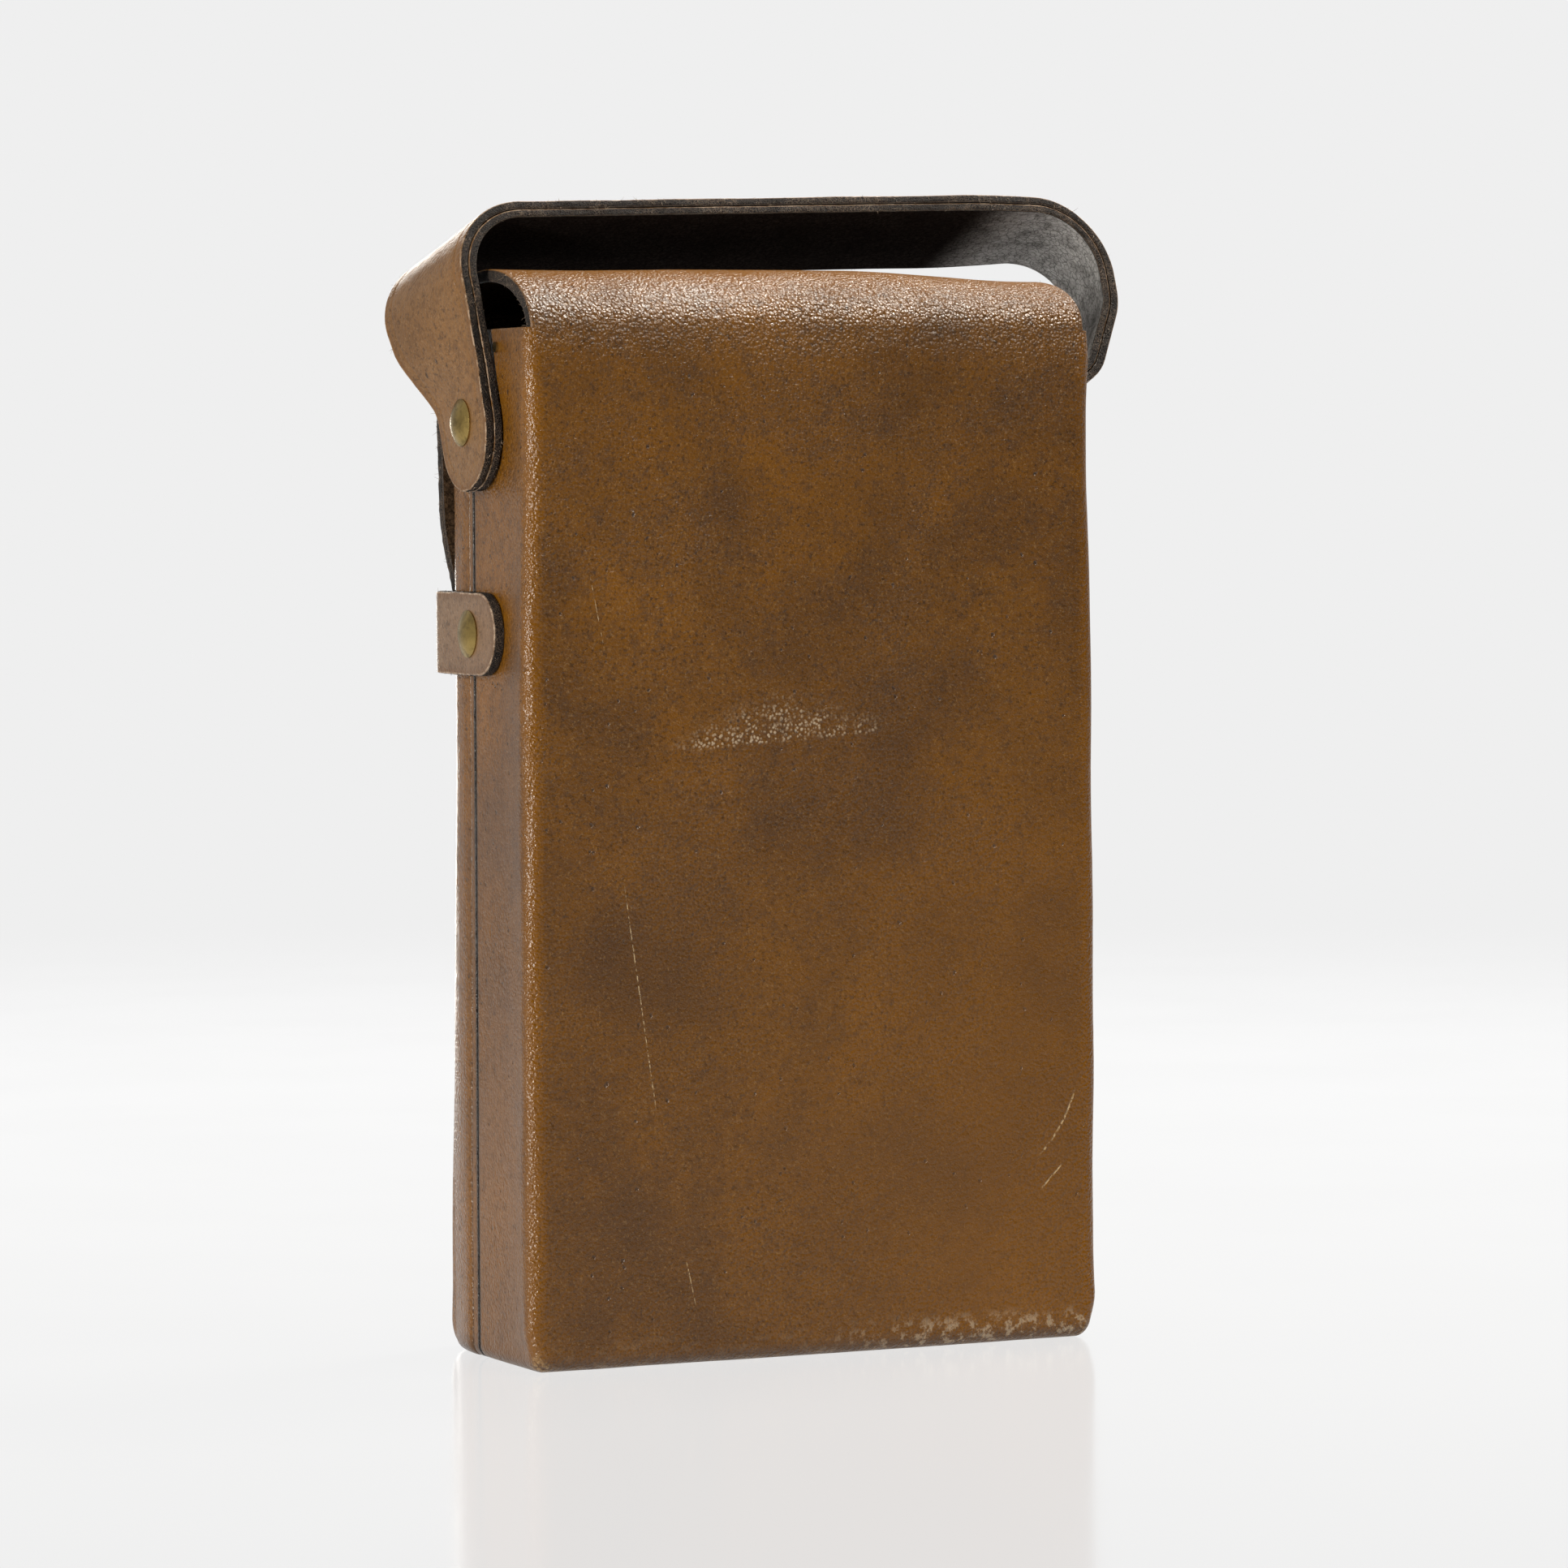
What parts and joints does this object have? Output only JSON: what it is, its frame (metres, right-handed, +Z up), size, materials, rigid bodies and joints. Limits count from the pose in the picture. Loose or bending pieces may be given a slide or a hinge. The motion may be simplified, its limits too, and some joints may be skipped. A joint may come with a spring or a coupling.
{
  "type": "selenium light meter",
  "caption": "Selenium light meter in a closed leather carrying case with a fold-over lid flap, a keeper strap and a riveted strap handle.",
  "frame": {"origin": "on the surface the case stands on, under the middle of its base", "axes": "+Z up along the case's height; -Y is the front with the lid flap and keeper strap; +Y is the plain back panel; X runs across the width, along the rivets"},
  "size_m": [0.1383, 0.0524, 0.2216],
  "materials": {
    "case_leather": "aged vegetable-tanned leather, mottled brown, satin, worn at the edges",
    "strap_leather": "lighter tan leather with dark fibrous cut edges",
    "lining_cloth": "thin dark red napped lining cloth on card",
    "aged_brass": "tarnished brass",
    "bakelite": "black moulded phenolic, polished",
    "nickel_screw": "nickel-plated steel",
    "bezel_metal": "satin turned aluminium",
    "clear_glass": "clear glass",
    "selenium_plate": "grey selenium layer on a steel plate",
    "magnet_iron": "cast magnet alloy",
    "soft_iron": "turned soft iron",
    "dial_paint": "aged ivory dial paint",
    "coil_copper": "enamelled copper wire",
    "pointer_paint": "black varnished aluminium",
    "dial_metal": "dark anodised aluminium",
    "phenolic_board": "brown phenolic sheet",
    "resistor_body": "lacquered resistor bodies"
  },
  "bodies": {
    "case": {"back_shell": "case_leather", "front_tray": "case_leather", "case_lining": "lining_cloth", "wall_pins": "aged_brass", "keeper_strap": "strap_leather", "keeper_rivets": "aged_brass", "keeper_burrs": "aged_brass", "handle_rivets": "aged_brass", "handle_burrs": "aged_brass", "housing_rear": "bakelite", "housing_front": "bakelite", "housing_screws": "nickel_screw", "cell_bezel": "bezel_metal", "bezel_screws": "nickel_screw", "cell_lens": "clear_glass", "contact_ring": "aged_brass", "selenium_cell": "selenium_plate", "cell_holder": "bakelite", "magnet": "magnet_iron", "pole_shoes": "soft_iron", "iron_core": "soft_iron", "rear_bridge": "aged_brass", "front_bridge": "aged_brass", "jewel_screws": "aged_brass", "hairsprings": "aged_brass", "scale_plate": "dial_paint", "meter_window": "clear_glass", "calculator_base": "dial_paint", "dial_screw": "nickel_screw", "range_switch": "phenolic_board", "button_spring": "nickel_screw", "resistor_board": "phenolic_board", "board_screws": "nickel_screw", "resistors": "resistor_body"},
    "lid": {"lid_flap": "case_leather"},
    "handle": {"handle_inner_ply": "strap_leather", "handle_outer_ply": "strap_leather"},
    "movement": {"moving_coil": "coil_copper", "coil_staffs": "soft_iron", "pointer": "pointer_paint"},
    "zero_screw": {"zero_adjuster": "aged_brass"},
    "exposure_ring": {"exposure_dial": "dial_metal"},
    "film_speed_disc": {"film_speed_dial": "dial_metal"},
    "range_selector": {"range_knob": "bakelite"},
    "button": {"read_button": "bezel_metal"}
  },
  "joints": [
    {"name": "lid_hinge", "type": "hinge", "parent": "case", "child": "lid", "pos_m": [0, 0.01905, 0.19615], "axis": [-1, 0, 0], "range_deg": [0, 150], "deforming": ["lid_flap"]},
    {"name": "handle_swing", "type": "hinge", "parent": "case", "child": "handle", "pos_m": [0, -0.004, 0.1785], "axis": [1, 0, 0], "range_deg": [-135, 85]},
    {"name": "pointer_pivot", "type": "hinge", "parent": "case", "child": "movement", "pos_m": [0, 0, 0.07], "axis": [0, 1, 0], "range_deg": [0, 80], "stiffness_Nm_per_rad": 0.0002},
    {"name": "zero_adjust", "type": "hinge", "parent": "case", "child": "zero_screw", "pos_m": [0, -0.0125, 0.07], "axis": [0, -1, 0], "range_deg": [-20, 20]},
    {"name": "exposure_ring_turn", "type": "hinge", "parent": "case", "child": "exposure_ring", "pos_m": [-0.014, -0.0135, 0.034], "axis": [0, -1, 0], "continuous": true},
    {"name": "film_speed_turn", "type": "hinge", "parent": "case", "child": "film_speed_disc", "pos_m": [-0.014, -0.0135, 0.034], "axis": [0, -1, 0], "range_deg": [-60, 60]},
    {"name": "range_turn", "type": "hinge", "parent": "case", "child": "range_selector", "pos_m": [0.034, -0.013, 0.04], "axis": [0, -1, 0], "range_deg": [0, 90]},
    {"name": "button_press", "type": "slide", "parent": "case", "child": "button", "axis": [-1, 0, 0], "range_m": [0, 0.001], "stiffness_N_per_m": 300, "springref_m": -0.0005, "deforming": ["button_spring"]}
  ]
}
